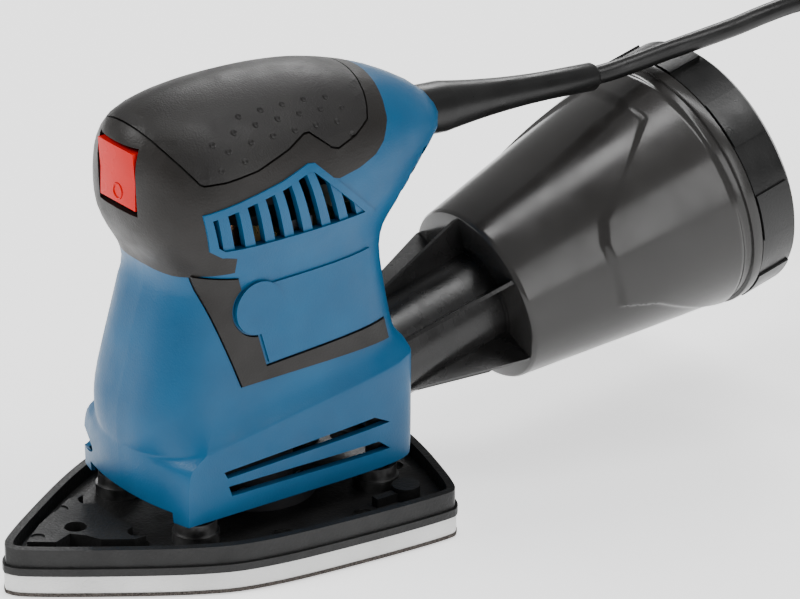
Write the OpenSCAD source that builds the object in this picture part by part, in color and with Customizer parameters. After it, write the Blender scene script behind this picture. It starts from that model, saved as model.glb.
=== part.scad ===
/* [Body] */
// Thickness of the moulded housing walls
wall = 2.4; // [2:0.1:2.6]
// Height of the open lower edge of the skirt above the sanding face
skirt_z = 19.5; // [19:0.5:20.5]
// Height of the crown of the grip hood above the sanding face
crown_z = 151; // [149:0.5:153]
// Depth of the soft pad let into the grip hood
pad_depth = 1.3; // [1:0.1:1.5]
// How far the name panel and the vent frame stand out of the housing
raise = 0.6; // [0.3:0.1:0.8]
// Number of vent slots on each side
vent_slots = 8; // [6:1:8]

/* [Sanding plate] */
// Width of the delta plate at its rear corners
plate_w = 100; // [96:1:104]
// Distance of the plate's tip in front of the motor axis
plate_front = 92; // [90:1:94]
// Distance of the plate's rear edge behind the motor axis
plate_rear = 58; // [57:1:60]
// Height of the top rim of the plate
plate_top = 15.5; // [15:0.5:16]
// Thickness of the abrasive sheet
sheet_t = 1.2; // [0.8:0.1:1.5]
// Height of the top of the foam backing pad
pad_top = 7; // [6:0.5:8]

/* [Drive] */
// Throw of the eccentric, half of the orbit's diameter
throw = 0.8; // [0.5:0.1:1]
// Outer radius of the motor's laminated stator
stator_r = 22; // [20:0.5:22.5]
// Outer radius of the fan
fan_r = 23; // [21:0.5:23.5]
// Number of fan blades
fan_blades = 11; // [7:1:13]

/* [Dust box] */
// Upward tilt of the dust box axis
box_tilt = 14; // [13:0.5:14.5]
// Radius of the dust container at its front wall
box_front_r = 30; // [29:0.5:32]
// Radius of the dust container at its open end
box_rear_r = 43; // [42:0.5:43]
// Distance of the container's front wall behind the port face
box_wall_s = 43; // [41:1:45]
// Distance of the container's open end behind the port face
box_end_s = 128; // [126:1:130]
// Number of gussets between the neck and the front wall
neck_fins = 6; // [4:2:8]

/* [Cord] */
// Outer diameter of the mains cord
cord_d = 6.3; // [6:0.1:7]
// Mid-line diameter of the stored coil
coil_d = 70; // [64:1:74]

/* [Hidden] */
$fn = 64;

blue = "steelblue";
black = "dimgray";
steel = "silver";
gap = 0.3;
far = 200;

// Stations of the body, from the skirt up to the crown. Each ring is a superellipse whose front
// and rear halves meet at its widest place, and its plane rises towards the rear by the slope.
// A corner value of 1 makes a crisp upright edge where the two halves meet.
// [height at the axis, slope, front y, widest y, rear y, half width, front n, rear n, corner]
body_rows = [
    [skirt_z, 0.000, -47.5, -43.5, 45.5, 29.0, 2.2, 9.0, 1.0],
    [24, 0.005, -48.5, -43.5, 45.7, 29.2, 2.2, 9.0, 1.0],
    [32, 0.030, -49.5, -43.5, 45.8, 29.3, 2.2, 9.0, 1.0],
    [40, 0.090, -49.7, -42.8, 45.8, 29.3, 2.2, 9.0, 1.0],
    [44, 0.125, -49.8, -41.2, 45.8, 29.3, 2.2, 9.0, 1.0],
    [47.1, 0.155, -49.9, -37.5, 45.8, 29.2, 2.2, 9.0, 1.1],
    [48.2, 0.152, -50.0, -36.0, 45.7, 28.8, 2.3, 8.5, 1.3],
    [52, 0.130, -50.2, -33.0, 44.8, 27.4, 2.6, 7.5, 1.8],
    [56.4, 0.105, -49.8, -28.0, 42.6, 26.6, 2.8, 6.5, 2.5],
    [62.5, 0.085, -48.0, -20.0, 41.5, 26.3, 3.2, 5.5, 3.2],
    [77, 0.050, -44.0, -12.0, 40.2, 25.7, 3.2, 4.4, 3.2],
    [88, 0.045, -40.5, -10.0, 40.0, 25.5, 3.2, 3.8, 3.2],
    [94, 0.045, -39.0, -10.0, 43.5, 26.0, 3.0, 3.1, 3.0],
    [100, 0.040, -40.5, -10.0, 49.5, 27.8, 2.9, 2.7, 2.9],
    [106, 0.040, -44.0, -10.0, 55.0, 29.8, 2.8, 2.5, 2.8],
    [113, 0.030, -47.5, -10.0, 61.5, 31.0, 2.7, 2.3, 2.7],
    [120, 0.020, -48.3, -10.0, 67.5, 31.5, 2.7, 2.2, 2.7],
    [127, 0.000, -48.8, -10.0, 66.5, 30.5, 2.6, 2.2, 2.6],
    [134, 0.000, -49.0, -8.0, 59.0, 28.0, 2.5, 2.2, 2.5],
    [141, 0.000, -47.5, -6.0, 46.0, 22.5, 2.4, 2.2, 2.4],
    [crown_z - 5.3, 0.000, -42.0, -6.0, 33.0, 16.5, 2.2, 2.2, 2.2],
    [crown_z - 2.3, 0.000, -33.0, -6.0, 21.0, 10.5, 2.1, 2.2, 2.1],
    [crown_z - 0.6, 0.000, -21.0, -6.0, 8.5, 5.5, 2.0, 2.0, 2.0],
    [crown_z, 0.000, -10.0, -6.0, -2.0, 1.5, 2.0, 2.0, 2.0]];
outer_sides = 48;
inner_sides = 36;
dome_z = 120;
hood_rows = [11, 23];
trim_rows = [8, 14];
panel_rows = [8, 18];
emblem_row = 11;

// Side views, as [y, z] outlines that are extruded across the body
hood_zone = [[-60, 96.3], [-38, 96.6], [-33, 97.7], [-23.5, 98], [-23.8, 103.4], [-28.9, 104.6],
    [-32.8, 107.2], [-35.4, 119.6], [-20.6, 123.2], [-8.6, 125.7], [1.2, 128.8], [3.6, 128.4],
    [10, 122.3], [12.6, 121.4], [20.5, 122.5], [28, 124.8], [32.3, 128], [35.5, 132.7],
    [37.7, 138.5], [39.2, 143], [40, 160], [-60, 160]];
pad_zone = [[-46, 160], [-45.8, 144], [-41.3, 137.2], [-35.3, 128.8], [-34, 128.1], [-27, 128.4],
    [-16.4, 130], [-4, 133.7], [2.6, 136.4], [4.4, 136.4], [11, 130.9], [13.6, 130], [21.3, 131.9],
    [28, 134.9], [31, 139.5], [33.7, 145.2], [36, 160]];
vent_frame = [[-28.9, 104.6], [-32.8, 107.2], [-35.4, 119.6], [-20.6, 123.2], [-8.6, 125.7],
    [1.2, 128.8], [3.6, 128.4], [29.8, 104.6]];
vent_window = [[-28.4, 106.8], [-30.4, 108.3], [-32.8, 117.8], [-20, 120.9], [-8, 123.3],
    [1.4, 126.3], [2.9, 125.9], [24, 106.8]];
trim_zone = [[-36, 98], [-22, 95.8], [-15.1, 75.9], [-12.2, 64.8], [34.4, 67.8], [35.6, 60.6],
    [-21.8, 59.6]];
panel_zone = [[-12.6, 91.2], [28.8, 92.2], [28.8, 68.1], [-11.4, 65.5], [-14.4, 77]];
emblem_at = [-14.6, 84.3];
emblem_r = 8.6;
skirt_slots = [[[-30.4, 34.6], [26.5, 37.5], [32.7, 34.3], [-29.1, 32.2]],
    [[-28.8, 29.4], [28.2, 28.8], [32.9, 25.2], [-27.5, 25.9]]];
rear_slots = [[53, 116.5], [49, 110.5], [45, 104.5]];
rear_slot_size = [2.8, 4.2];
vent_slot_w = 3.6;
vent_pitch_low = 7.05;
vent_pitch_high = 6.5;
front_arch_rise = 4.5;

// Housing screws, as [y, z, length of the bosses on each side of the joint plane]
screw_posts = [[-43.8, 29, 16], [-37, 64, 20.5], [-33.5, 88, 16.5], [33, 80, 16], [44, 106, 14],
    [50, 129.5, 15]];
post_r = 3.6;
screw_r = 1.5;
screw_head_r = 3;

// Heights along the motor axis
weight_z = 28.5;
chassis_z = 36;
chassis_t = 3.5;
rib_t = 2.6;
fan_z = 46;
guide_z = 55.6;
stack_z = [62, 88];
commutator_z = [95, 106];
brush_z = 100.5;
bridge_z = 107;
rotor_r = 12.6;
shaft_r = 4;
pin_r = 3;
small_bearing = [3, 9.5, 6];
large_bearing = [4, 11, 7];
drive_bearing_z = 20;
upper_bearing_z = 110;
hub_top = 27;
hub_r = 12;
floor_z = 10.5;
leg_places = [[-21.5, -36], [21.5, -36], [-21.5, 32], [21.5, 32]];
leg_r = 3.2;

// Dust port, on an axis that leaves the rear of the skirt
port_at = [0, 45, 43.2];
port_bore_r = 15;
port_outer_r = 17;
port_depth = 14;
container_wall = 1.8;
cap_r = 44.2;
ring_r = 14;

// Switch
switch_at = [0, -41, 127.3];
rocker_w = 19;
rocker_h = 18.4;
window_w = 20.6;
window_h = 21.8;

// Cord, as points from the strain relief down to the coil on the ground
relief_from = [0, 69, 121.8];
relief_pitch = 3.35;
relief_len = 65.1;
relief_r = 8.2;
flange_s = 12;
clamp_x = 6.5;
clamp_y = 46.5;
clamp_z = 113.6;
clamp_t = 5.6;
clamp_screw_r = 1.3;
cord_path = [[0, 134, 118], [1, 141, 118.6], [2.5, 149, 120], [4.5, 158, 121.9], [6.5, 166, 123.6],
    [8, 176, 125.2], [9, 186, 126.6], [10, 197, 128.6], [10.5, 210, 129.8], [10.3, 224, 128.5],
    [9.6, 238, 123], [8.7, 250, 113.5], [7.8, 259, 100], [6.9, 266, 83], [6.3, 272, 64],
    [5.8, 279, 45], [5.5, 289, 27], [5.3, 303, 13.5], [5.3, 320, 6.2], [5.3, 334, 4.2],
    [5.3, 345, 4]];
coil_at = [-36, 345, 0.8];
coil_turns = 3;
tail_path = [[5.3, 345, 16.6], [5.3, 355, 17.5], [1.8, 368, 21], [-7.8, 377.6, 26],
    [-20.8, 381.2, 30.5], [-33.9, 377.6, 32.6], [-43.5, 368, 33.2], [-47, 355, 33.2]];
lead_path = [[0, 56, 122.56], [0, 50, 122.8], [-2, 34, 124], [-4, 12, 125.5], [-3, -8, 126.6],
    [0, -21.2, 127.2]];
tie_w = 12;
tie_t = 0.8;
plug_r = 18;
plug_half = 13.5;
plug_len = 38;
plug_sleeve = 22;
plug_pin_r = 2.4;
plug_root_r = 2;
plug_pin_len = 19;
plug_pin_pitch = 19;

function spline_at(a, b, c, d, t) = 0.5 * (2 * b + (c - a) * t + (2 * a - 5 * b + 4 * c - d) * t * t
    + (3 * b - a - 3 * c + d) * t * t * t);
// Smooth curve through the points, with the given number of steps from each point to the next
function spline(p, steps) = [
    for (i = [0 : len(p) - 2], k = [0 : steps - 1])
        spline_at(p[max(i - 1, 0)], p[i], p[i + 1], p[min(i + 2, len(p) - 1)], k / steps),
    p[len(p) - 1]];
function power(v, e) = sign(v) * pow(abs(v), e);
function unit(v) = v / norm(v);
function body_ring(row, inset, sides) = [
    for (i = [0 : sides - 1])
        let (t = 360 * i / sides, rear = sin(t) >= 0,
            n = rear ? row[7] : row[6],
            reach = rear ? row[4] - row[3] : row[3] - row[2],
            y = row[3] + (reach - inset) * power(sin(t), 2 / (rear ? n : row[8])))
        [(row[5] - inset) * power(cos(t), 2 / n), y, row[0] + row[1] * y]];
function lowered(row, by) = concat([row[0] - by], [for (k = [1 : 8]) row[k]]);

// Closed skin through rings that all have the same number of points
module loft(rings) {
    n = len(rings[0]);
    last = len(rings) - 1;
    polyhedron(points = [for (r = rings) each r], faces = concat(
        [[for (i = [0 : n - 1]) i]],
        [[for (i = [n - 1 : -1 : 0]) last * n + i]],
        [for (k = [0 : last - 1], i = [0 : n - 1])
            let (j = (i + 1) % n) [k * n + i, (k + 1) * n + i, (k + 1) * n + j]],
        [for (k = [0 : last - 1], i = [0 : n - 1])
            let (j = (i + 1) % n) [k * n + i, (k + 1) * n + j, k * n + j]]));
}

// Skin of the body, moved inwards along its own normal
function inset_row(row, by) = let (tip = 90 * pow(max(0, (row[0] - dome_z) / (crown_z - dome_z)), 1.6),
    side = by * cos(tip))
    [row[0] - by * sin(tip), row[1], row[2] + side, row[3], row[4] - side, row[5] - side, row[6], row[7],
    row[8]];
function rows_at(by) = [for (row = body_rows) inset_row(row, by)];

// Solid inside the skin, between two of the body's stations
module body_band(inset, first, last, steps) {
    rows = [for (k = [first : last]) inset_row(body_rows[k], inset)];
    loft([for (row = spline(rows, steps)) body_ring(row, 0, outer_sides)]);
}

module body_skin() body_band(0, 0, len(body_rows) - 1, 2);

module body_cavity() {
    rows = rows_at(wall);
    loft([for (row = concat([lowered(rows[0], 2)], rows)) body_ring(row, 0, inner_sides)]);
}

// Band of skin that stands proud of the body, between two stations
module proud_band(first, last) {
    rows = [for (k = [first : last]) body_rows[k]];
    loft([for (row = spline(rows, 2)) body_ring(row, -raise, outer_sides)]);
}

// Prism across the whole body, from its outline in the side view
module across(outline) {
    rotate([90, 0, 90]) translate([0, 0, -far / 2]) linear_extrude(far) polygon(outline);
}

// Prism through the wall on the +X side only
module side_prism(outline) {
    rotate([90, 0, 90]) translate([0, 0, 12]) linear_extrude(30) polygon(outline);
}

module tube(path, r, sides, up) {
    last = len(path) - 1;
    rings = [for (k = [0 : last])
        let (t = unit(path[min(k + 1, last)] - path[max(k - 1, 0)]),
            a = unit(cross(t, up)), b = cross(t, a))
        [for (i = [0 : sides - 1]) path[k] + r * (cos(360 * i / sides) * a + sin(360 * i / sides) * b)]];
    loft(rings);
}

module ring_solid(outer, inner, h) {
    difference() {
        cylinder(r = outer, h = h);
        translate([0, 0, -1]) cylinder(r = inner, h = h + 2);
    }
}

// Places its children on the dust box axis, with +Z pointing backwards along it
module on_box_axis() translate(port_at) rotate([box_tilt - 90, 0, 0]) children();

// Places its children on the strain relief's axis, with +Z pointing backwards along it
module on_relief_axis() translate(relief_from) rotate([-relief_pitch - 90, 0, 0]) children();

module at_screw_posts() for (p = screw_posts) translate([0, p[0], p[1]]) rotate([0, 90, 0]) children();

// ---- Housing ----

// One half of the blue housing, on the +X side of the joint plane
module housing_half() {
    arch_half = body_rows[0][5] - 6;
    difference() {
        union() {
            difference() {
                union() {
                    body_skin();
                    intersection() {
                        proud_band(panel_rows[0], panel_rows[1]);
                        union() {
                            across(panel_zone);
                            difference() {
                                across(vent_frame);
                                across(vent_window);
                            }
                        }
                    }
                    translate([0, emblem_at[0], emblem_at[1]]) rotate([0, 90, 0])
                        cylinder(r = emblem_r, h = body_rows[emblem_row][5] + 2 * raise);
                }
                body_cavity();
            }
            for (p = screw_posts)
                translate([0, p[0], p[1]]) rotate([0, 90, 0]) cylinder(r = post_r, h = p[2]);
            // ribs that hold the edges of the chassis plate
            for (z = [chassis_z - rib_t, chassis_z + chassis_t])
                translate([16, -43.6, z]) cube([6, 3.2, rib_t]);
            on_relief_axis() translate([0, 0, -flange_s]) cylinder(r = relief_r + 1.4, h = 2.1);
            translate([clamp_x, clamp_y, 103]) cylinder(r = 2.8, h = clamp_z - 103);
        }
        translate([-far, -far / 2, 0]) cube([far, far, far]);
        across(hood_zone);
        difference() {
            trim_prism(0);
            body_band(pad_depth, trim_rows[0], trim_rows[1], 1);
        }
        for (outline = skirt_slots) side_prism(outline);
        intersection() {
            side_prism(vent_window);
            vent_bars();
        }
        for (p = rear_slots)
            translate([12, p[0] - rear_slot_size[0] / 2, p[1] - rear_slot_size[1] / 2])
                cube([30, rear_slot_size[0], rear_slot_size[1]]);
        translate([-1, -far / 2, skirt_z - 1]) cube([arch_half + 1, far / 2 - 44, front_arch_rise]);
        on_box_axis() {
            translate([0, 0, -port_depth]) cylinder(r = port_outer_r, h = port_depth + 1);
            cylinder(r = port_outer_r + 0.5, h = 26);
        }
        on_relief_axis() translate([0, 0, -flange_s - 1]) cylinder(r = relief_r, h = 30);
        at_screw_posts() translate([0, 0, -1]) cylinder(r = screw_r, h = 9);
        translate([clamp_x, clamp_y, clamp_z - 6]) cylinder(r = clamp_screw_r, h = 7);
    }
}

module vent_bars() {
    for (i = [0 : vent_slots - 1]) {
        low = -30.2 + vent_pitch_low * i;
        high = -35.2 + vent_pitch_high * i;
        half = vent_slot_w / 2;
        side_prism([[low - half, 106], [low + half, 106], [high + half, 129], [high - half, 129]]);
    }
}

module trim_prism(shrink) {
    difference() {
        rotate([90, 0, 90]) translate([0, 0, 5]) linear_extrude(40) offset(delta = -shrink) polygon(trim_zone);
        translate([0, emblem_at[0], emblem_at[1]]) rotate([0, 90, 0])
            cylinder(r = emblem_r + 0.5 + shrink, h = 60);
    }
}

module housing_left() color(blue) housing_half();

module housing_right() color(blue) difference() {
    mirror([1, 0, 0]) housing_half();
    for (p = screw_posts) translate([0, p[0], p[1]]) rotate([0, -90, 0]) {
        cylinder(r = screw_r, h = p[2]);
        translate([0, 0, p[2] - 4]) cylinder(r = screw_head_r + 0.2, h = 30);
    }
}

module grip_hood() color(black) difference() {
    intersection() {
        body_band(0, hood_rows[0], hood_rows[1], 2);
        across(hood_zone);
    }
    body_cavity();
    difference() {
        across(pad_zone);
        body_band(pad_depth, hood_rows[0], hood_rows[1], 1);
    }
    translate([-window_w / 2, -60, switch_at[2] - window_h / 2]) cube([window_w, 20, window_h]);
}

module grip_pad() color(black) difference() {
    intersection() {
        body_band(0, hood_rows[0], hood_rows[1], 2);
        rotate([90, 0, 90]) translate([0, 0, -far / 2]) linear_extrude(far)
            offset(delta = -0.6) polygon(pad_zone);
    }
    body_band(pad_depth, hood_rows[0], hood_rows[1], 1);
}

module side_trim_left() color(black) intersection() {
    difference() {
        proud_band(trim_rows[0], trim_rows[1]);
        body_band(pad_depth, trim_rows[0] - 1, trim_rows[1] + 1, 1);
    }
    trim_prism(0.35);
}

module side_trim_right() mirror([1, 0, 0]) side_trim_left();

module housing_screws() color(steel) for (p = screw_posts)
    translate([0, p[0], p[1]]) rotate([0, -90, 0]) {
        translate([0, 0, -7.5]) cylinder(r = screw_r, h = p[2] + 3.5);
        translate([0, 0, p[2] - 4]) difference() {
            cylinder(r = screw_head_r, h = 2.2);
            translate([0, 0, 1]) cylinder(r = 1.5, h = 2, $fn = 6);
        }
    }

// ---- Switch ----

module switch_body() color("black") translate(switch_at) difference() {
    translate([-9.5, 0.4, -10.5]) cube([19, 18.6, 21]);
    rotate([0, 90, 0]) translate([0, 0, -6.4]) cylinder(r = 2.2, h = 12.8);
}

module switch_rocker() color("red") translate(switch_at) {
    face = [[-2, -rocker_h / 2], [-6.7, -rocker_h / 2], [-6.5, -0.5], [-7.2, rocker_h / 2],
        [-2, rocker_h / 2]];
    rotate([90, 0, 90]) translate([0, 0, -rocker_w / 2]) linear_extrude(rocker_w) polygon(face);
    translate([-5, -2, -1.2]) cube([10, 2, 2.4]);
    rotate([0, 90, 0]) translate([0, 0, -6]) cylinder(r = 1.9, h = 12);
}

// ---- Motor, fixed parts ----

module motor_stator() color(steel) translate([0, 0, stack_z[0]]) difference() {
    ring_solid(stator_r, rotor_r + 0.5, stack_z[1] - stack_z[0]);
    for (a = [45 : 90 : 315]) rotate(a) translate([stator_r, 0, -1]) cylinder(r = 2, h = 40);
}

module stator_windings() color("peru") for (z = [stack_z[0] - 3.6, stack_z[1]])
    translate([0, 0, z]) ring_solid(stator_r - 1.5, rotor_r + 1, 3.6);

module bearing(size) {
    inner = size[0] + 0.05;
    difference() {
        ring_solid(size[1], inner, size[2]);
        for (z = [-1, size[2] - 0.6]) translate([0, 0, z])
            ring_solid(size[1] - 1.6, size[0] + 1.6, 1.6);
    }
}

module upper_bearing() color(steel) translate([0, 0, upper_bearing_z]) bearing(small_bearing);

module lower_bearing() color(steel) translate([0, 0, chassis_z]) bearing(large_bearing);

module drive_bearing() color(steel) translate([0, throw, drive_bearing_z]) bearing(small_bearing);

module bearing_bridge() color("dimgray") translate([0, 0, bridge_z]) difference() {
    union() {
        cylinder(r = 20, h = 3);
        cylinder(r = small_bearing[1] + 3, h = 10.5);
        translate([-26.6, -5, 0]) cube([53.2, 10, 3]);
    }
    translate([0, 0, -1]) cylinder(r = small_bearing[1], h = 10);
    cylinder(r = shaft_r + 1, h = 20);
    for (a = [45 : 90 : 315]) rotate(a) translate([15.6, 0, -1]) cylinder(r = 2.6, h = 6);
}

module brush_holders() color("goldenrod") for (side = [-1, 1]) {
    difference() {
        translate([side * 15 - 6.2, -4.4, brush_z - 4.2]) cube([12.4, 8.8, 8.4]);
        translate([side * 15 - 8, -3.2, brush_z - 3]) cube([16, 6.4, 6]);
    }
    translate([side * 16 - 3, -4.4, brush_z + 4.2]) cube([6, 8.8, bridge_z - brush_z - 4.2]);
}

module carbon_brushes() color("black") for (side = [-1, 1])
    translate([side * 11.3 - 3.5, -3.2, brush_z - 3]) cube([7, 6.4, 6]);

module brush_springs() color(steel) for (side = [-1, 1], k = [0 : 4])
    translate([side * (15.2 + 1.2 * k), 0, brush_z]) rotate([0, 90, 0])
        rotate_extrude() translate([1.9, 0]) circle(r = 0.4, $fn = 16);

module suppression_capacitor() color("khaki") translate([-8, 25, 90]) cube([16, 9, 12]);

module air_guide() color("dimgray") translate([0, 0, guide_z]) ring_solid(fan_r + 0.6, 15, 1.4);

// Plate that carries the lower bearing and the four legs
module chassis_plate() color("dimgray") translate([0, 0, chassis_z]) difference() {
    union() {
        cylinder(r = 24, h = chassis_t);
        cylinder(r = large_bearing[1] + 3, h = 7.8);
        for (p = leg_places) translate(p) cylinder(r = leg_r + 0.7, h = chassis_t);
        for (side = [-1, 1]) {
            translate([side * 21.3 - 3.6, -42.5, 0]) cube([7.2, 78.7, chassis_t]);
        }
        translate([-20, -40, 0]) cube([40, 7, chassis_t]);
    }
    translate([0, 0, -1]) cylinder(r = large_bearing[1], h = large_bearing[2] + 1);
    cylinder(r = shaft_r + 3, h = 20);
    for (p = leg_places) translate([p[0], p[1], -1]) cylinder(r = 1.4, h = 6);
}

module swing_legs() color("dimgray") for (p = leg_places) translate([p[0], p[1], 16.8]) difference() {
    union() {
        cylinder(r = leg_r, h = chassis_z - 16.8);
        translate([0, 0, chassis_z - 18.8]) cylinder(r = leg_r + 0.7, h = 2);
    }
    translate([0, 0, 10]) cylinder(r = 1.4, h = 20);
}

module leg_screws() color(steel) for (p = leg_places) translate([p[0], p[1], chassis_z]) {
    translate([0, 0, -8]) cylinder(r = 1.4, h = 11.5);
    translate([0, 0, chassis_t]) difference() {
        cylinder(r = 2.7, h = 1.8);
        translate([0, 0, 0.8]) cylinder(r = 1.4, h = 2, $fn = 6);
    }
}

// ---- Dust port ----

module dust_duct() color("dimgray") on_box_axis() difference() {
    translate([0, 0, -port_depth]) cylinder(r = port_outer_r, h = port_depth);
    translate([0, 0, -port_depth + 1.5]) cylinder(r = port_bore_r, h = port_depth);
    translate([0, 0, -port_depth - 1]) cylinder(r = port_bore_r - 2.4, h = 4);
    translate([0, 0, -5]) cylinder(r = port_bore_r + 0.8, h = 1.6);
}

module port_seal() color("black") on_box_axis() translate([0, 0, -5])
    ring_solid(port_bore_r + 0.8, port_bore_r - 0.2, 1.6);

// ---- Cord entry ----

module cord_clamp() color("dimgray") translate([0, clamp_y, clamp_z]) difference() {
    union() {
        translate([-10, -2.5, 0]) cube([20, 5, clamp_t]);
        translate([-2.7, -2.5, 1]) cube([5.4, 5, clamp_t - 0.4]);
    }
    for (side = [-1, 1]) translate([side * clamp_x, 0, -1]) cylinder(r = clamp_screw_r, h = 20);
}

module clamp_screws() color(steel) for (side = [-1, 1])
    translate([side * clamp_x, clamp_y, clamp_z]) {
        translate([0, 0, -6]) cylinder(r = clamp_screw_r, h = 6 + clamp_t);
        translate([0, 0, clamp_t]) cylinder(r = 2.6, h = 1.8);
    }

module strain_relief() color("black") on_relief_axis() difference() {
    rotate_extrude() polygon(concat(
        [[0, -flange_s - 3], [relief_r + 1, -flange_s - 3], [relief_r + 1, -flange_s],
            [relief_r, -flange_s], [relief_r, 4]],
        [for (k = [1 : 12]) let (t = k / 12) [4.6 + (relief_r - 4.6) * pow(1 - t, 1.9), 4 + t * 46]],
        [[4.6, relief_len - 1], [4.1, relief_len], [0, relief_len]]));
    translate([0, 0, -flange_s - 4]) cylinder(r = 3, h = 4);
}

module inner_leads() color("black") tube(spline(lead_path, 3), 2.6, 10, [1, 0, 0]);

// ---- Rotor ----

module rotor_shaft() color(steel) difference() {
    union() {
        translate([0, 0, chassis_z - 2.5]) cylinder(r = shaft_r, h = bridge_z - chassis_z + 1.5);
        translate([0, 0, bridge_z - 1]) cylinder(r = small_bearing[0], h = 10);
        translate([0, 0, weight_z - 1]) cylinder(r = 5, h = 7);
        translate([0, throw, drive_bearing_z - 3]) cylinder(r = pin_r, h = weight_z - drive_bearing_z + 3);
    }
}

module rotor_core() color("gray") translate([0, 0, stack_z[0]]) difference() {
    ring_solid(rotor_r, shaft_r, stack_z[1] - stack_z[0]);
    for (a = [0 : 30 : 330]) rotate(a) translate([rotor_r - 3, -0.9, -1]) cube([4, 1.8, 40]);
}

module rotor_windings() color("peru") for (z = [stack_z[0] - 4.2, stack_z[1]])
    translate([0, 0, z]) ring_solid(rotor_r - 1.2, shaft_r, 4.2);

module commutator() color("chocolate") translate([0, 0, commutator_z[0]]) difference() {
    ring_solid(7.5, shaft_r, commutator_z[1] - commutator_z[0]);
    for (a = [0 : 30 : 330]) rotate(a) translate([6.6, -0.25, -1]) cube([2, 0.5, 20]);
}

module fan_wheel() color("dimgray") translate([0, 0, fan_z]) {
    ring_solid(fan_r, shaft_r, 1.6);
    ring_solid(7, shaft_r, 8);
    for (a = [0 : fan_blades - 1]) rotate(a * 360 / fan_blades)
        translate([6, -0.6, 1]) rotate([0, 0, 18]) cube([fan_r - 8, 1.2, 6.5]);
}

// Counterweight opposite the eccentric pin
module balance_weight() color("goldenrod") translate([0, 0, weight_z]) difference() {
    union() {
        cylinder(r = 9, h = 5);
        intersection() {
            cylinder(r = 17, h = 5);
            translate([-20, -20, 0]) cube([40, 18, 5]);
        }
    }
    translate([0, 0, -1]) cylinder(r = 5, h = 8);
}

// ---- Plate ----

plate_points = let (sx = plate_w / 100, sf = plate_front / 92, sr = plate_rear / 58) [
    for (p = [[0, -92], [4.6, -89.6], [12, -80.5], [22.3, -66], [31, -53], [37.2, -42.5],
        [41.6, -33], [44.8, -20], [47, -4], [49.2, 20], [50, 39], [48.4, 44.2], [43, 47.2],
        [33, 50.6], [19.4, 54.6], [7, 57.4], [0, 58]]) [p[0] * sx, p[1] * (p[1] < 0 ? sf : sr)]];
function mirrored(p) = [for (k = [len(p) - 2 : -1 : 1]) [-p[k][0], p[k][1]]];
plate_half = spline(plate_points, 3);
plate_outline = concat(plate_half, mirrored(plate_half));
function inset(p, by) = [for (k = [0 : len(p) - 1])
    let (t = unit(p[(k + 1) % len(p)] - p[(k + len(p) - 1) % len(p)])) p[k] + by * [-t[1], t[0]]];
dust_holes = [[0, -66], [-14, -52], [14, -52], [-34, -12], [34, -12], [-37, 16], [37, 16], [-14, 44],
    [14, 44]];
dust_hole_r = 3.5;
carrier_bolts = [for (a = [45 : 90 : 315]) 15.8 * [cos(a), sin(a)] + [0, throw]];
rim_t = 2.6;
draft = 0.9;

module layer(by, z0, z1) translate([0, 0, z0]) linear_extrude(z1 - z0) polygon(inset(plate_outline, by));

module at_dust_holes() for (p = dust_holes) translate([p[0], p[1], -1]) children();

module sanding_plate() color(black) difference() {
    union() {
        difference() {
            union() {
                layer(0, pad_top, pad_top + 2.5);
                layer(draft, pad_top, plate_top);
            }
            translate([0, 0, floor_z]) linear_extrude(plate_top) offset(delta = -rim_t - draft)
                polygon(plate_outline);
        }
        // raised island in the nose, and ribs beside the legs
        translate([0, 0, floor_z - 1]) linear_extrude(plate_top - floor_z + 0.6) polygon([[0, -83.5],
            [5.5, -76.5], [3, -70], [7, -66.5], [12, -64.5], [18, -56], [18, -52], [-18, -52],
            [-18, -57], [-8, -74]]);
        for (side = [-1, 1]) translate([side * 35, 34, floor_z - 1]) {
            cylinder(r = 4.5, h = plate_top - floor_z + 0.4);
            translate([-1.5, -12, 0]) cube([3, 12, plate_top - floor_z - 1]);
        }
    }
    translate([0, 0, plate_top - 0.9]) {
        translate([-13.5, -63, 0]) cylinder(r = 2.6, h = 3);
        translate([-1, -79, 0]) cylinder(r = 2.2, h = 3);
    }
    at_dust_holes() cylinder(r = dust_hole_r, h = 30);
    for (p = carrier_bolts) translate([p[0], p[1], -1]) cylinder(r = 1.5, h = 20);
}

module backing_pad() color("white") difference() {
    layer(0.5, sheet_t, pad_top);
    at_dust_holes() cylinder(r = dust_hole_r, h = 30);
}

module abrasive_sheet() color("brown") difference() {
    layer(0.3, 0, sheet_t);
    at_dust_holes() cylinder(r = dust_hole_r, h = 30);
}

module plate_carrier() color("dimgray") translate([0, throw, floor_z]) difference() {
    union() {
        cylinder(r = 19.5, h = 3.5);
        cylinder(r = hub_r, h = hub_top - floor_z);
    }
    translate([0, 0, drive_bearing_z - floor_z]) cylinder(r = small_bearing[1], h = 20);
    translate([0, 0, 3]) cylinder(r = small_bearing[1] - 2, h = 20);
    for (p = carrier_bolts) translate([p[0], p[1] - throw, -1]) cylinder(r = 1.5, h = 20);
}

module carrier_screws() color(steel) for (p = carrier_bolts) translate([p[0], p[1], 0]) {
    translate([0, 0, pad_top]) cylinder(r = 1.5, h = floor_z + 3.5 - pad_top);
    translate([0, 0, floor_z + 3.5]) difference() {
        cylinder(r = 2.7, h = 1.8);
        translate([0, 0, 0.8]) cylinder(r = 1.4, h = 2, $fn = 6);
    }
}

module leg_feet() color(steel) for (p = leg_places) translate([p[0], p[1], floor_z]) difference() {
    union() {
        cylinder(r = 7.4, h = 3.6);
        cylinder(r = 6.6, h = 7.6);
    }
    translate([0, 0, 4.6]) cylinder(r = 5.4, h = 10);
}

// ---- Dust box ----

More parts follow.
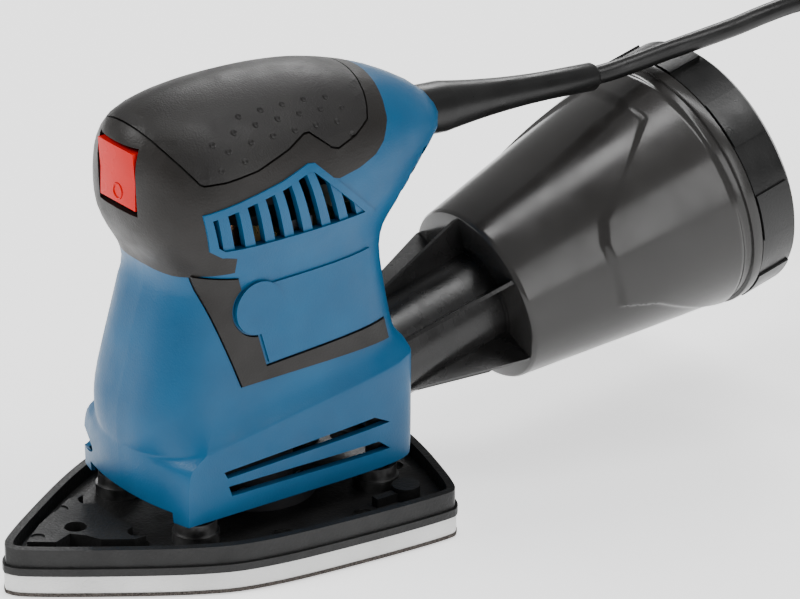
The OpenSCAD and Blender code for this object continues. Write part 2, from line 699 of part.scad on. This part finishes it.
module dust_container() color("slategray") on_box_axis() difference() {
    length = box_end_s - box_wall_s;
    t = container_wall;
    translate([0, 0, box_wall_s]) rotate_extrude() polygon([[18, 0], [box_front_r - 1.5, 0],
        [box_front_r, 1.2], [box_rear_r - 0.4, length - 4], [box_rear_r + 0.8, length - 4],
        [box_rear_r + 0.8, length], [box_rear_r - t, length], [box_front_r - t, t], [18, t]]);
}

module dust_neck() color("dimgray") on_box_axis() difference() {
    union() {
        translate([0, 0, 2.3 - port_depth]) cylinder(r = port_bore_r - gap, h = port_depth);
        translate([0, 0, gap]) cylinder(r = port_outer_r, h = box_wall_s - gap);
        translate([0, 0, box_wall_s - 1]) cylinder(r = 18, h = 3.8);
        for (k = [0 : neck_fins - 1]) rotate(90 + 360 * k / neck_fins)
            rotate([90, 0, 0]) translate([0, 0, -0.6]) linear_extrude(1.2)
                polygon([[16, 2], [17.2, 2], [box_front_r - 1, box_wall_s - 1.2],
                    [box_front_r - 1, box_wall_s], [16, box_wall_s]]);
    }
    translate([0, 0, -port_depth]) cylinder(r = port_bore_r - 2.4, h = box_wall_s + 30);
}

module filter_frame() color("black") on_box_axis() {
    translate([0, 0, 51]) cylinder(r = 25, h = 2);
    translate([0, 0, 117]) ring_solid(38, ring_r, 2.5);
    for (a = [0 : 90 : 270]) rotate(a) translate([16.5, 0, 52]) cylinder(r = 1.2, h = 66);
}

module filter_pleats() color("white") on_box_axis() translate([0, 0, 53]) linear_extrude(64)
    difference() {
        star(24.5, 20);
        star(23.3, 18.8);
    }

module star(crest, valley) polygon([for (k = [0 : 47]) (k % 2 == 0 ? crest : valley) * [cos(7.5 * k), sin(7.5 * k)]]);

module end_cap() color("black") on_box_axis() translate([0, 0, box_end_s + gap]) {
    length = 15;
    spigot_r = box_rear_r - 3.6;
    difference() {
        union() {
            rotate_extrude() polygon([[0, length - 1.8], [0, length], [cap_r - 2.6, length],
                [cap_r - 0.8, length - 1.6], [cap_r - 0.8, 0], [spigot_r - 2, 0],
                [spigot_r - 2, length - 1.8]]);
            translate([0, 0, -8]) ring_solid(spigot_r, spigot_r - 2, 9);
            for (k = [0 : 7]) rotate(45 * k) intersection() {
                ring_solid(cap_r, cap_r - 1.5, length - 2.4);
                linear_extrude(length) polygon([[0, 0], [far * cos(11), far * sin(-11)],
                    [far * cos(11), far * sin(11)]]);
            }
            translate([0, 0, -12]) cylinder(r = ring_r - 0.4, h = length + 11);
        }
        translate([0, 0, -13]) cylinder(r = ring_r - 2.4, h = length + 10);
    }
}

// ---- Mains cord ----

module power_cord() color("black") {
    tube(spline(cord_path, 2), cord_d / 2, 10, [1, 0, 0]);
    tube(spline(tail_path, 2), cord_d / 2, 10, [0, 0, 1]);
}

coil_half = coil_turns * cord_d / 2;
module cord_coil() color("black") translate(coil_at) rotate_extrude()
    translate([coil_d / 2, coil_half]) square(2 * coil_half, center = true);

module cord_tie() color("black") translate(coil_at) rotate(173) rotate_extrude(angle = 14)
    translate([coil_d / 2, coil_half]) difference() {
        square(2 * (coil_half + tie_t), center = true);
        square(2 * coil_half, center = true);
    }

// Places its children on the plug's axis, with +Z pointing out of its face
module on_plug_axis() translate(tail_path[len(tail_path) - 1]) rotate([90, 0, 0]) children();

module plug_body() color("black") on_plug_axis() difference() {
    union() {
        hull() {
            for (side = [-1, 1]) translate([side * (plug_r - plug_half), 0, plug_sleeve + 12])
                cylinder(r = plug_half, h = plug_len - 12, $fn = 32);
            translate([0, 0, plug_sleeve]) cylinder(r = 7, h = 1, $fn = 32);
        }
        cylinder(r1 = 4.4, r2 = 6, h = plug_sleeve);
    }
    for (side = [-1, 1]) translate([side * plug_pin_pitch / 2, 0, plug_sleeve + plug_len - 8])
        cylinder(r = plug_root_r, h = 10);
}

module plug_pins() color(steel) on_plug_axis() for (side = [-1, 1])
    translate([side * plug_pin_pitch / 2, 0, plug_sleeve + plug_len - 8]) {
        cylinder(r = plug_root_r, h = 10);
        translate([0, 0, 8]) cylinder(r = plug_pin_r, h = plug_pin_len - 1);
        translate([0, 0, 7 + plug_pin_len]) cylinder(r1 = plug_pin_r, r2 = plug_pin_r - 1, h = 1);
    }

housing_left();
housing_right();
grip_hood();
grip_pad();
side_trim_left();
side_trim_right();
housing_screws();
switch_body();
switch_rocker();
motor_stator();
stator_windings();
upper_bearing();
bearing_bridge();
brush_holders();
carbon_brushes();
brush_springs();
suppression_capacitor();
air_guide();
chassis_plate();
lower_bearing();
swing_legs();
leg_screws();
dust_duct();
port_seal();
cord_clamp();
clamp_screws();
strain_relief();
inner_leads();
rotor_shaft();
rotor_core();
rotor_windings();
commutator();
fan_wheel();
balance_weight();
drive_bearing();
plate_carrier();
carrier_screws();
leg_feet();
sanding_plate();
backing_pad();
abrasive_sheet();
dust_container();
dust_neck();
filter_frame();
filter_pleats();
end_cap();
power_cord();
cord_coil();
cord_tie();
plug_body();
plug_pins();
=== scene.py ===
import math

import bmesh
import bpy
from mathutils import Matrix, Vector
from mathutils.interpolate import poly_3d_calc
from mathutils.bvhtree import BVHTree
from mathutils.kdtree import KDTree


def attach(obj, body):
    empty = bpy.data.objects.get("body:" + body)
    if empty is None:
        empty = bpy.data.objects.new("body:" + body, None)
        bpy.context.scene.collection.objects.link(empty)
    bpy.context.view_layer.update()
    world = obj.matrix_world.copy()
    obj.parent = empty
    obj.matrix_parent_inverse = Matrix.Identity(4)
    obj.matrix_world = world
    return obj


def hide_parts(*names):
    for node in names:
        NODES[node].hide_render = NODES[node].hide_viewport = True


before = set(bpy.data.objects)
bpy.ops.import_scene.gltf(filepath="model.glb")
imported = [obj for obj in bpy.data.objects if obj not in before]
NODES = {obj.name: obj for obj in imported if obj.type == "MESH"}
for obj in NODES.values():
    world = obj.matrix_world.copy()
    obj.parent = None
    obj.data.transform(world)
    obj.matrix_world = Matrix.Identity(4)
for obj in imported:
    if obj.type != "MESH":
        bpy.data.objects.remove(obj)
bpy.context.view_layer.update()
MM = 0.001


# ---- Camera, at the photograph's viewing angle ----

TARGET = Vector((28.92, 36.18, 75.0)) * MM
BACK = Vector((0.7408, -0.5427, 0.3957)).normalized()
DISTANCE = 1.5
cam_data = bpy.data.cameras.new("camera")
cam_data.sensor_width = 36
cam_data.lens = 36 * 4858.04 / 800
cam_data.clip_start = 0.05
cam_data.clip_end = 20
camera = bpy.data.objects.new("camera", cam_data)
camera.location = TARGET + DISTANCE * BACK
camera.rotation_euler = BACK.to_track_quat("Z", "Y").to_euler()
bpy.context.scene.collection.objects.link(camera)
bpy.context.scene.camera = camera


# ---- Mesh helpers ----

def spline_at(a, b, c, d, t):
    return 0.5 * (2 * b + (c - a) * t + (2 * a - 5 * b + 4 * c - d) * t * t
                  + (3 * b - a - 3 * c + d) * t * t * t)


def spline(points, steps):
    """Smooth curve through the points, with the given number of steps from each to the next."""
    p = [Vector(q) for q in points]
    last = len(p) - 1
    out = [spline_at(p[max(i - 1, 0)], p[i], p[i + 1], p[min(i + 2, last)], k / steps)
           for i in range(last) for k in range(steps)]
    return out + [p[last]]


def link(name, mesh, material, body):
    o = bpy.data.objects.new(name, mesh)
    bpy.context.scene.collection.objects.link(o)
    mesh.materials.clear()
    mesh.materials.append(material)
    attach(o, body)
    return o


# ---- Material helpers ----

class Shader:
    """A small wrapper round one material's node tree."""

    def __init__(self, name, roughness=0.5, metallic=0.0, specular=0.5):
        self.mat = bpy.data.materials.new(name)
        self.mat.use_nodes = True
        self.tree = self.mat.node_tree
        self.bsdf = self.tree.nodes["Principled BSDF"]
        self.set("Roughness", roughness)
        self.set("Metallic", metallic)
        self.set("Specular IOR Level", specular)
        self.coord = self.node("ShaderNodeTexCoord").outputs["Object"]
        self.height = None

    def node(self, kind, **values):
        n = self.tree.nodes.new(kind)
        for key, value in values.items():
            if hasattr(n, key):
                setattr(n, key, value)
            else:
                n.inputs[key.replace("_", " ")].default_value = value
        return n

    def set(self, socket, value):
        self.bsdf.inputs[socket].default_value = value

    def join(self, a, b):
        self.tree.links.new(a, b)

    def noise(self, scale, detail=3.0, stretch=None):
        n = self.node("ShaderNodeTexNoise", Scale=scale, Detail=detail)
        if stretch:
            m = self.node("ShaderNodeMapping")
            m.inputs["Scale"].default_value = stretch
            self.join(self.coord, m.inputs["Vector"])
            self.join(m.outputs[0], n.inputs["Vector"])
        else:
            self.join(self.coord, n.inputs["Vector"])
        return n.outputs["Fac"]

    def ramp(self, fac, low, high, start=0.3, end=0.7):
        r = self.node("ShaderNodeValToRGB")
        r.color_ramp.elements[0].position = start
        r.color_ramp.elements[0].color = low if len(low) == 4 else (*low, 1)
        r.color_ramp.elements[1].position = end
        r.color_ramp.elements[1].color = high if len(high) == 4 else (*high, 1)
        self.join(fac, r.inputs[0])
        return r.outputs["Color"]

    def colour(self, low, high, scale, start=0.3, end=0.7, detail=3.0, stretch=None):
        self.join(self.ramp(self.noise(scale, detail, stretch), low, high, start, end),
                  self.bsdf.inputs["Base Color"])

    def rough(self, low, high, scale, stretch=None):
        m = self.node("ShaderNodeMapRange")
        m.inputs["From Min"].default_value = 0.3
        m.inputs["From Max"].default_value = 0.7
        m.inputs["To Min"].default_value = low
        m.inputs["To Max"].default_value = high
        self.join(self.noise(scale, 2.0, stretch), m.inputs["Value"])
        self.join(m.outputs[0], self.bsdf.inputs["Roughness"])

    def bump(self, height, distance, strength=1.0):
        b = self.node("ShaderNodeBump", Strength=strength, Distance=distance)
        self.join(height, b.inputs["Height"])
        if self.height:
            self.join(self.height, b.inputs["Normal"])
        self.height = b.outputs["Normal"]
        self.join(self.height, self.bsdf.inputs["Normal"])


def moulded(name, low, high, roughness, grain=900.0, depth=0.00006, specular=0.5, mottle=45.0):
    """Moulded plastic: slight mottling, uneven gloss and a fine spark-eroded grain."""
    s = Shader(name, specular=specular)
    s.colour(low, high, mottle)
    s.rough(roughness - 0.05, roughness + 0.07, 130.0)
    s.bump(s.noise(grain, 2.0), depth)
    return s


def metal(name, low, high, roughness, stretch=None, scale=260.0, depth=0.00003):
    s = Shader(name, metallic=1.0)
    s.colour(low, high, scale, stretch=stretch)
    s.rough(roughness - 0.07, roughness + 0.1, scale, stretch)
    s.bump(s.noise(scale * 2, 3.0, stretch), depth)
    return s


blue = moulded("blue_moulding", (0.0005, 0.066, 0.158), (0.001, 0.084, 0.195),
               0.38, 1700.0, 0.00007, 0.28)
black = moulded("black_moulding", (0.008, 0.007, 0.006), (0.014, 0.012, 0.011),
                0.44, 1500.0, 0.00010, 0.3)
soft = moulded("soft_grip", (0.009, 0.008, 0.008), (0.015, 0.014, 0.013),
               0.46, 1700.0, 0.00011, 0.32)
red = moulded("red_switch", (0.52, 0.0, 0.0), (0.60, 0.001, 0.0), 0.25, 600.0, 0.00001, 0.12)
plate_black = moulded("plate_moulding", (0.004, 0.004, 0.004), (0.010, 0.010, 0.010),
                      0.5, 900.0, 0.00020, 0.35)
rubber = moulded("cord_rubber", (0.004, 0.004, 0.004), (0.009, 0.009, 0.009),
                 0.32, 800.0, 0.00004, 0.3)
cap_black = moulded("cap_moulding", (0.005, 0.005, 0.005), (0.010, 0.010, 0.010),
                    0.3, 1200.0, 0.00005, 0.32)
inner = moulded("inner_moulding", (0.016, 0.016, 0.018), (0.030, 0.030, 0.032), 0.5)
foam = moulded("backing_foam", (0.66, 0.66, 0.65), (0.80, 0.80, 0.79), 0.8, 1400.0, 0.00025, 0.2)
grit = moulded("abrasive_grit", (0.020, 0.017, 0.016), (0.11, 0.095, 0.085),
               0.85, 2600.0, 0.0004, 0.2, 1800.0)
film = moulded("capacitor_case", (0.50, 0.42, 0.16), (0.62, 0.53, 0.22), 0.3)
paper = moulded("filter_paper", (0.60, 0.58, 0.52), (0.74, 0.72, 0.66), 0.85, 1100.0, 0.0001, 0.2)
carbon = moulded("pressed_carbon", (0.012, 0.012, 0.012), (0.035, 0.035, 0.035), 0.6)
steel = metal("bright_steel", (0.50, 0.50, 0.51), (0.68, 0.68, 0.69), 0.28)
dull_steel = metal("dull_steel", (0.10, 0.10, 0.10), (0.20, 0.20, 0.20), 0.42)
laminate = metal("laminations", (0.16, 0.16, 0.17), (0.36, 0.36, 0.37),
                 0.45, (1, 1, 60), 30.0, 0.0001)
winding = metal("enamelled_wire", (0.42, 0.15, 0.06), (0.66, 0.27, 0.12),
                0.35, (1, 1, 12), 160.0, 0.0003)
brass = metal("plain_brass", (0.55, 0.38, 0.14), (0.72, 0.52, 0.22), 0.3)
copper = metal("copper_bars", (0.52, 0.24, 0.12), (0.70, 0.36, 0.20), 0.3)
zinc = metal("die_casting", (0.38, 0.38, 0.39), (0.52, 0.52, 0.53), 0.5)

smoke = Shader("smoke_plastic", roughness=0.2, specular=0.4)
smoke.colour((0.017, 0.016, 0.015), (0.028, 0.027, 0.026), 24.0)
smoke.rough(0.16, 0.26, 90.0)
smoke.bump(smoke.noise(900.0, 2.0), 0.000008)
smoke.set("Alpha", 0.95)
dark_smoke = moulded("dark_smoke_plastic", (0.007, 0.007, 0.007), (0.014, 0.013, 0.013),
                     0.25, 900.0, 0.00003, 0.35)

FINISH = {
    blue: "housing_left housing_right",
    black: "grip_hood side_trim_left side_trim_right",
    soft: "grip_pad",
    red: "switch_rocker",
    plate_black: "sanding_plate",
    cap_black: "end_cap",
    rubber: "strain_relief plug_body inner_leads port_seal cord_tie power_cord cord_coil",
    smoke: "dust_container",
    dark_smoke: "dust_neck",
    foam: "backing_pad",
    grit: "abrasive_sheet",
    film: "suppression_capacitor",
    paper: "filter_pleats",
    carbon: "carbon_brushes",
    steel: "housing_screws leg_screws clamp_screws carrier_screws upper_bearing lower_bearing "
           "drive_bearing rotor_shaft brush_springs",
    dull_steel: "leg_feet",
    laminate: "motor_stator rotor_core",
    winding: "stator_windings rotor_windings",
    brass: "brush_holders plug_pins",
    copper: "commutator",
    zinc: "balance_weight",
}
finish_of = {n: s for s, names in FINISH.items() for n in names.split()}
for name, o in NODES.items():
    o.data.materials.clear()
    o.data.materials.append(finish_of.get(name, inner).mat)


# ---- Mains cord: one smooth line from the strain relief, through the coil, to the plug ----

CORD_D = 6.3
COIL_AT = Vector((-36, 345, 0.8))
COIL_D = 70
LINE_DOWN = [(0, 134, 118), (1, 141, 118.6), (2.5, 149, 120), (4.5, 158, 121.9),
             (6.5, 166, 123.6), (8, 176, 125.2), (9, 186, 126.6), (10, 197, 128.6),
             (10.5, 210, 129.8), (10.3, 224, 128.5), (9.6, 238, 123), (8.7, 250, 113.5),
             (7.8, 259, 100), (6.9, 266, 83), (6.3, 272, 64), (5.8, 279, 45),
             (5.5, 289, 27), (5.3, 303, 13.5), (5.3, 320, 6.2), (5.3, 334, 4.2)]
LINE_TAIL = [(5.3, 355, 17.5), (1.8, 368, 21), (-7.8, 377.6, 26), (-20.8, 381.2, 30.5),
             (-33.9, 377.6, 32.6), (-43.5, 368, 33.2), (-47, 355, 33.2)]


def coil_line():
    """Nine turns in a square of three by three, each beside or over the one before."""
    order = [(2, 0), (1, 0), (0, 0), (0, 1), (0, 2), (1, 2), (1, 1), (2, 1), (2, 2)]
    slots = [(COIL_D / 2 + (c - 1) * CORD_D, CORD_D * (r + 0.5)) for c, r in order]
    per_turn = 48
    out = []
    for turn in range(9):
        here, after = slots[turn], slots[min(turn + 1, 8)]
        for k in range(per_turn):
            f = k / per_turn
            e = min(1.0, max(0.0, (f - 0.6) / 0.4))
            e = e * e * (3 - 2 * e)
            r = here[0] + (after[0] - here[0]) * e
            z = here[1] + (after[1] - here[1]) * e
            a = 2 * math.pi * f
            out.append(COIL_AT + Vector((r * math.cos(a), r * math.sin(a), z)))
    out.append(COIL_AT + Vector((slots[8][0], 0, slots[8][1])))
    return out


cord_line = spline(LINE_DOWN, 4) + coil_line() + spline(LINE_TAIL, 4)
cord_line = [p * MM for p in cord_line]
curve = bpy.data.curves.new("mains_cord", "CURVE")
curve.dimensions = "3D"
curve.bevel_depth = CORD_D / 2 * MM
curve.bevel_resolution = 5
curve.use_fill_caps = True
strand = curve.splines.new("POLY")
strand.points.add(len(cord_line) - 1)
for point, place in zip(strand.points, cord_line):
    point.co = (*place, 1)
strand.use_smooth = True
curve.materials.append(rubber.mat)
mains_cord = bpy.data.objects.new("mains_cord", curve)
bpy.context.scene.collection.objects.link(mains_cord)
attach(mains_cord, "machine")
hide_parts("power_cord", "cord_coil")


# ---- Smooth-shaded copies of the moulded parts ----

WELD = 0.000004
SLIVER = 0.000002


def smooth_copy(node, body, limit=28):
    """The CAD node's shape with its facets shaded as one smooth skin between sharp edges."""
    src = NODES[node]
    mesh = bpy.data.meshes.new(node + "_skin")
    bm = bmesh.new()
    bm.from_mesh(src.data)
    bmesh.ops.remove_doubles(bm, verts=bm.verts, dist=WELD)
    bmesh.ops.dissolve_degenerate(bm, edges=bm.edges, dist=SLIVER)
    for f in bm.faces:
        f.smooth = True
    for e in bm.edges:
        flat = len(e.link_faces) == 2 and e.calc_face_angle(0) < math.radians(limit)
        e.smooth = flat
    bm.to_mesh(mesh)
    bm.free()
    o = link(node + "_skin", mesh, src.data.materials[0], body)
    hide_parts(node)
    return o


MOULDED = {
    "machine": "housing_left housing_right grip_hood side_trim_left side_trim_right "
               "strain_relief plug_body",
    "plate": "sanding_plate backing_pad abrasive_sheet leg_feet",
    "dust_box": "dust_neck",
    "cap": "end_cap",
}
for body, moulded_nodes in MOULDED.items():
    for name in moulded_nodes.split():
        smooth_copy(name, body)


def apply_modifiers(piece):
    """Replaces the piece's mesh with what its modifiers make of it."""
    mesh = bpy.data.meshes.new_from_object(
        piece.evaluated_get(bpy.context.evaluated_depsgraph_get()))
    piece.modifiers.clear()
    old = piece.data
    piece.data = mesh
    bpy.data.meshes.remove(old)


def smooth_by_angle(mesh, limit):
    """Smooth shading, with the edges sharper than the limit left crisp."""
    for f in mesh.polygons:
        f.use_smooth = True
    mesh.set_sharp_from_angle(angle=math.radians(limit))


def cut(piece, cutter):
    """Takes the cutter's volume out of the piece."""
    m = piece.modifiers.new("cut", "BOOLEAN")
    m.operation = "DIFFERENCE"
    m.solver = "EXACT"
    m.object = cutter
    bpy.context.view_layer.update()
    apply_modifiers(piece)
    spare = cutter.data
    bpy.data.objects.remove(cutter)
    bpy.data.meshes.remove(spare)


def mesh_tree(mesh):
    """Search tree for rays and nearest points on a mesh."""
    return BVHTree.FromPolygons([v.co for v in mesh.vertices],
                                [tuple(f.vertices) for f in mesh.polygons])


# Small round pits in rows on both flanks of the soft pad: each row's angle above level, its
# shift along Y and its first and last place, in degrees and millimetres
PIT_R = 1.5 * MM
PIT_DEPTH = 0.5 * MM
PIT_PITCH = 8
PAD_CORE_Z = 120
PIT_ROWS = [(27, 4, (-32, -15)), (27, 4, (15, 20)), (36, 0, (-28, 21)), (45, 4, (-32, 24)),
            (53, 0, (-20, 17))]


def pit_centres(tree):
    """Centres of the balls that cut the pits, on both flanks of the pad."""
    centres = []
    for angle, shift, (first, last) in PIT_ROWS:
        for y in range(-40 + shift, 41, PIT_PITCH):
            if not first <= y <= last:
                continue
            fall = 1 - 0.18 * ((y + 2) / 30) ** 4
            a = math.radians(angle * fall)
            for side in (-1, 1):
                way = Vector((side * math.cos(a), 0, math.sin(a)))
                start = Vector((0, y, PAD_CORE_Z)) * MM + way * (80 * MM)
                hit, normal, _, _ = tree.ray_cast(start, -way)
                if hit is not None:
                    centres.append(hit + normal * (PIT_R - PIT_DEPTH))
    return centres


def pit_cutter(centres):
    bm = bmesh.new()
    for centre in centres:
        made = bmesh.ops.create_icosphere(bm, subdivisions=3, radius=PIT_R)
        bmesh.ops.translate(bm, verts=made["verts"], vec=centre)
    mesh = bpy.data.meshes.new("pit_cutter")
    bm.to_mesh(mesh)
    bm.free()
    cutter = bpy.data.objects.new("pit_cutter", mesh)
    bpy.context.scene.collection.objects.link(cutter)
    return cutter


def skin_normal(whole, normals, tree, corner, face):
    """Shading direction of the uncut skin at a corner of one of the cut mesh's faces."""
    probe = corner.lerp(face.center, 0.02)
    _, _, index, _ = tree.find_nearest(probe)
    flat = whole.polygons[index].normal
    if flat.dot(face.normal) < 0.6:
        return face.normal.copy()
    ids = whole.polygons[index].vertices
    if any(normals[i].dot(flat) < 0.85 for i in ids):
        return flat.copy()
    weights = poly_3d_calc([whole.vertices[i].co for i in ids], probe)
    blend = sum((normals[i] * w for i, w in zip(ids, weights)), Vector())
    return flat.copy() if blend.length < 0.1 else blend.normalized()


def grip_pits(pad):
    """Cuts the pits, then keeps the pad's own smooth shading between them."""
    whole = pad.data.copy()
    normals = [v.normal.copy() for v in whole.vertices]
    tree = mesh_tree(whole)
    centres = pit_centres(tree)
    cut(pad, pit_cutter(centres))
    near = KDTree(len(centres))
    for i, centre in enumerate(centres):
        near.insert(centre, i)
    near.balance()
    mesh = pad.data
    loops = [None] * len(mesh.loops)
    for f in mesh.polygons:
        f.use_smooth = True
        corners = [mesh.vertices[i].co for i in f.vertices]
        middle, _, away = near.find(f.center)
        pit = away < PIT_R * 1.05 and all(
            abs((c - middle).length - PIT_R) < PIT_R * 0.02 for c in corners)
        for li, corner in zip(f.loop_indices, corners):
            loops[li] = ((middle - corner).normalized() if pit
                         else skin_normal(whole, normals, tree, corner, f))
    mesh.normals_split_custom_set(loops)
    bpy.data.meshes.remove(whole)


pad = smooth_copy("grip_pad", "machine")
grip_pits(pad)


# The rocker, with rounded edges and the raised ring on its lower half
RING_Z = 121.8
RING_R = 2.3
RING_THICK = 0.35
rocker = smooth_copy("switch_rocker", "switch", limit=2)
bevel = rocker.modifiers.new("round", "BEVEL")
bevel.width = 0.9 * MM
bevel.segments = 4
bevel.limit_method = "ANGLE"
bevel.angle_limit = math.radians(25)
apply_modifiers(rocker)
smooth_by_angle(rocker.data, 35)


def ring_mesh(name, centre, normal, radius, thick, turns=48, sides=12):
    """A round ring standing on a surface."""
    across = normal.orthogonal().normalized()
    other = normal.cross(across)
    bm = bmesh.new()
    rows = []
    for k in range(turns):
        a = 2 * math.pi * k / turns
        out = math.cos(a) * across + math.sin(a) * other
        around = [2 * math.pi * i / sides for i in range(sides)]
        rows.append([bm.verts.new(centre + out * (radius + thick * math.cos(b))
                                  + normal * thick * math.sin(b)) for b in around])
    for k in range(turns):
        a, b = rows[k], rows[(k + 1) % turns]
        for i in range(sides):
            f = bm.faces.new((a[i], b[i], b[(i + 1) % sides], a[(i + 1) % sides]))
            f.smooth = True
    bmesh.ops.recalc_face_normals(bm, faces=bm.faces)
    mesh = bpy.data.meshes.new(name)
    bm.to_mesh(mesh)
    bm.free()
    return mesh


tree = mesh_tree(rocker.data)
spot, facing, _, _ = tree.ray_cast(Vector((0, -70, RING_Z)) * MM, Vector((0, 1, 0)))
ring = ring_mesh("switch_ring", spot, facing, RING_R * MM, RING_THICK * MM)
link("switch_ring", ring, red.mat, "switch")


# ---- Smoke-tinted dust container with its raised side panels ----

PORT = Vector((0, 45, 43.2))
AXIS = Vector((0, math.cos(math.radians(14)), math.sin(math.radians(14))))
DOWN = Vector((0, AXIS.z, -AXIS.y))
FRONT_S, END_S = 43.0, 128.0
FRONT_R, END_R, WALL = 30.0, 43.0, 1.8
CORNER = 1.2
RIM = 4
TURNS = 288
# The raised panel's front edge: angle from the top, and distance along the axis
PANEL_EDGE = [(0, 109), (23, 110), (55, 78), (66, 75), (104, 75.5), (113, 89), (133, 106),
              (150, 124), (180, 124)]
PANEL_RISE = 1.0
PANEL_BEVEL = 2.6


def box_point(s, r, angle):
    """A point on the dust box from its distance along the axis, radius and angle from the top."""
    a = math.radians(angle)
    return (PORT + AXIS * s + Vector((math.sin(a) * r, 0, 0)) - DOWN * (math.cos(a) * r)) * MM


def panel_edge(angle):
    """How far along the axis the raised panel starts, at this angle from the top."""
    a = abs((angle + 180) % 360 - 180)
    for (a0, s0), (a1, s1) in zip(PANEL_EDGE, PANEL_EDGE[1:]):
        if a <= a1:
            return s0 + (s1 - s0) * (a - a0) / (a1 - a0)
    return PANEL_EDGE[-1][1]


def panel_lift(s, angle):
    start = min(1.0, max(0.0, (s - panel_edge(angle)) / PANEL_BEVEL + 0.5))
    end = min(1.0, max(0.0, (END_S - 6.5 - s) / 1.5))
    return PANEL_RISE * start * start * (3 - 2 * start) * end


def container_section():
    """Points round the wall's section: distance along the axis, radius, and if the panel lifts."""
    slope = (END_R - 0.4 - FRONT_R) / (END_S - RIM - FRONT_S - CORNER)
    cone = [FRONT_S + 0.3 + k for k in (0.9, 1.6, 2.6)]
    cone += [s for s in (FRONT_S + 4 + 0.8 * k for k in range(96)) if s < END_S - 4.2]
    face = [(FRONT_S, 18.2), (FRONT_S, 24), (FRONT_S, FRONT_R - 1.5),
            (FRONT_S + 0.35, FRONT_R - 0.6)]
    outside = [(s, FRONT_R + (s - FRONT_S - CORNER) * slope) for s in cone]
    rim = [(END_S - 4.1, END_R - 0.4), (END_S - 3.8, END_R + 0.6), (END_S - 3.2, END_R + 0.8),
           (END_S - 0.4, END_R + 0.8), (END_S, END_R + 0.4), (END_S, END_R - WALL)]
    inside = [(s, FRONT_R - WALL + (s - FRONT_S - CORNER) * slope)
              for s in (END_S - 0.4 - 2 * k for k in range(1, 41))]
    inside += [(FRONT_S + WALL, FRONT_R - WALL - 1), (FRONT_S + WALL, 18.2)]
    return ([(s, r, False) for s, r in face] + [(s, r, True) for s, r in outside]
            + [(s, r, False) for s, r in rim + inside])


def container():
    bm = bmesh.new()
    rings = []
    for s, r, raised in container_section():
        angles = [360 * k / TURNS for k in range(TURNS)]
        rings.append([bm.verts.new(box_point(s, r + (panel_lift(s, a) if raised else 0.0), a))
                      for a in angles])
    for a, b in zip(rings, rings[1:] + rings[:1]):
        for k in range(TURNS):
            j = (k + 1) % TURNS
            bm.faces.new((a[k], a[j], b[j], b[k]))
    bmesh.ops.recalc_face_normals(bm, faces=bm.faces)
    for f in bm.faces:
        f.smooth = True
    for e in bm.edges:
        e.smooth = len(e.link_faces) == 2 and e.calc_face_angle(0) < math.radians(32)
    mesh = bpy.data.meshes.new("container_shell")
    bm.to_mesh(mesh)
    bm.free()
    o = link("container_shell", mesh, smoke.mat, "dust_box")
    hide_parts("dust_container")


container()


# ---- Floor and light ----

floor_mesh = bpy.data.meshes.new("floor")
bm = bmesh.new()
bmesh.ops.create_grid(bm, x_segments=8, y_segments=8, size=4)
bm.to_mesh(floor_mesh)
bm.free()
floor = bpy.data.objects.new("floor", floor_mesh)
floor.location = (0, 0, -0.0005)
bpy.context.scene.collection.objects.link(floor)
paint = Shader("floor_paint", roughness=0.9, specular=0.1)
paint.colour((0.92, 0.92, 0.92), (0.95, 0.95, 0.95), 0.8)
paint.set("Emission Color", (1, 1, 1, 1))
paint.set("Emission Strength", 1.0)
floor_mesh.materials.append(paint.mat)

world = bpy.data.worlds.new("world")
bpy.context.scene.world = world
world.use_nodes = True
world.node_tree.nodes["Background"].inputs["Color"].default_value = (1, 1, 1, 1)
world.node_tree.nodes["Background"].inputs["Strength"].default_value = 0.45


def area_light(name, place, aim, size, watts):
    data = bpy.data.lights.new(name, "AREA")
    data.shape = "RECTANGLE"
    data.size, data.size_y = size
    data.energy = watts
    o = bpy.data.objects.new(name, data)
    o.location = place
    o.rotation_euler = (Vector(place) - Vector(aim)).to_track_quat("Z", "Y").to_euler()
    bpy.context.scene.collection.objects.link(o)


MIDDLE = (0.0, 0.04, 0.07)
area_light("key", (-0.5, -1.0, 1.1), MIDDLE, (0.5, 0.5), 15)
area_light("top", (0.3, 0.3, 1.3), MIDDLE, (0.25, 1.2), 9)
area_light("side", (1.3, 0.3, 0.5), MIDDLE, (0.3, 0.9), 4)
area_light("rear", (-0.9, 0.9, 0.9), MIDDLE, (0.6, 0.4), 9)
